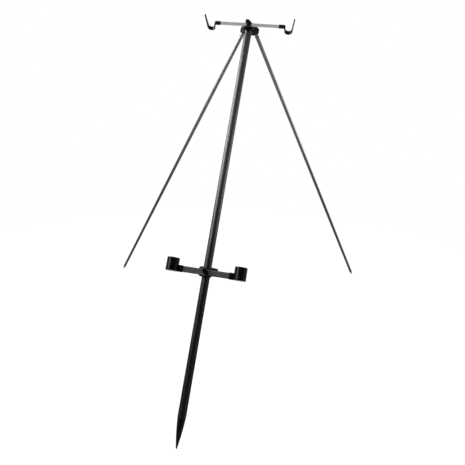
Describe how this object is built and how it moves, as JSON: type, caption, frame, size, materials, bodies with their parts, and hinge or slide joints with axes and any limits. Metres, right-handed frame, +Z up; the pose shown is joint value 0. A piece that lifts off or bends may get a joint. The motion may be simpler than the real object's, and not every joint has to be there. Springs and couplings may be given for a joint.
{
  "type": "surf rod tripod",
  "caption": "Beach rod tripod: a spiked leaning post, folding back legs, a top bar with U rests and a sliding lower bar with butt cups for holding surf rods.",
  "frame": {"origin": "on the ground, midway between the leg tips across and midway between the spike's point and the leg tips in depth", "axes": "+X across the stand to the right leg, +Y from the spike towards the back legs, +Z up from the ground"},
  "size_m": [1.5646, 1.5496, 1.4442],
  "materials": {
    "post_anodised": "gunmetal anodised tube",
    "leg_anodised": "grey anodised tube",
    "bar_silver": "silver anodised, brushed",
    "bar_grey": "dark grey satin paint",
    "spike_paint": "black satin paint",
    "black_plastic": "black moulded nylon",
    "pad_plastic": "natural nylon",
    "fastener_steel": "dark stainless steel"
  },
  "bodies": {
    "post": {"post_tube": "post_anodised", "ground_spike": "spike_paint", "spike_pin": "fastener_steel", "head_hub": "black_plastic", "hub_cap": "black_plastic", "hub_screw": "fastener_steel", "left_hinge_bolt": "fastener_steel", "left_hinge_nut": "fastener_steel", "right_hinge_bolt": "fastener_steel", "right_hinge_nut": "fastener_steel", "top_washer": "fastener_steel"},
    "left_leg": {"left_leg_knuckle": "black_plastic", "left_leg_tube": "leg_anodised", "left_leg_rivet": "fastener_steel", "left_leg_tip": "black_plastic"},
    "right_leg": {"right_leg_knuckle": "black_plastic", "right_leg_tube": "leg_anodised", "right_leg_rivet": "fastener_steel", "right_leg_tip": "black_plastic"},
    "top_bar": {"top_bar": "bar_silver", "left_rod_rest": "black_plastic", "right_rod_rest": "black_plastic", "left_rest_rivet": "fastener_steel", "right_rest_rivet": "fastener_steel"},
    "top_knob": {"top_knob": "black_plastic", "top_stud": "fastener_steel"},
    "collar": {"lower_collar": "black_plastic", "clamp_pad": "pad_plastic", "lower_washer": "fastener_steel"},
    "cup_bar": {"cup_bar": "bar_grey", "left_rod_cup": "black_plastic", "right_rod_cup": "black_plastic", "left_cup_rivet": "fastener_steel", "right_cup_rivet": "fastener_steel"},
    "lower_knob": {"lower_knob": "black_plastic", "lower_stud": "fastener_steel"}
  },
  "joints": [
    {"name": "left_leg_fold", "type": "hinge", "parent": "post", "child": "left_leg", "pos_m": [0.04688, 0.12164, 1.40071], "axis": [0.8218, 0.4566, -0.3408], "range_deg": [-53, 8.5]},
    {"name": "right_leg_fold", "type": "hinge", "parent": "post", "child": "right_leg", "pos_m": [0.09586, 0.12164, 1.39694], "axis": [0.8643, -0.4566, 0.2108], "range_deg": [-61.5, 0]},
    {"name": "top_bar_swivel", "type": "hinge", "parent": "post", "child": "top_bar", "pos_m": [0.0723, 0.05511, 1.41092], "axis": [0.0398, -0.8553, 0.5166], "range_deg": [-35, 35]},
    {"name": "top_knob_turn", "type": "hinge", "parent": "post", "child": "top_knob", "pos_m": [0.07134, 0.07589, 1.39837], "axis": [0.0398, -0.8553, 0.5166], "continuous": true},
    {"name": "collar_slide", "type": "slide", "parent": "post", "child": "collar", "axis": [0.0657, 0.5182, 0.8528], "range_m": [-0.42, 0.75]},
    {"name": "cup_bar_swivel", "type": "hinge", "parent": "collar", "child": "cup_bar", "pos_m": [0.00384, -0.48504, 0.52295], "axis": [0.0398, -0.8553, 0.5166], "range_deg": [-35, 35]},
    {"name": "lower_knob_turn", "type": "hinge", "parent": "collar", "child": "lower_knob", "pos_m": [0.00285, -0.46383, 0.51014], "axis": [0.0398, -0.8553, 0.5166], "continuous": true}
  ]
}
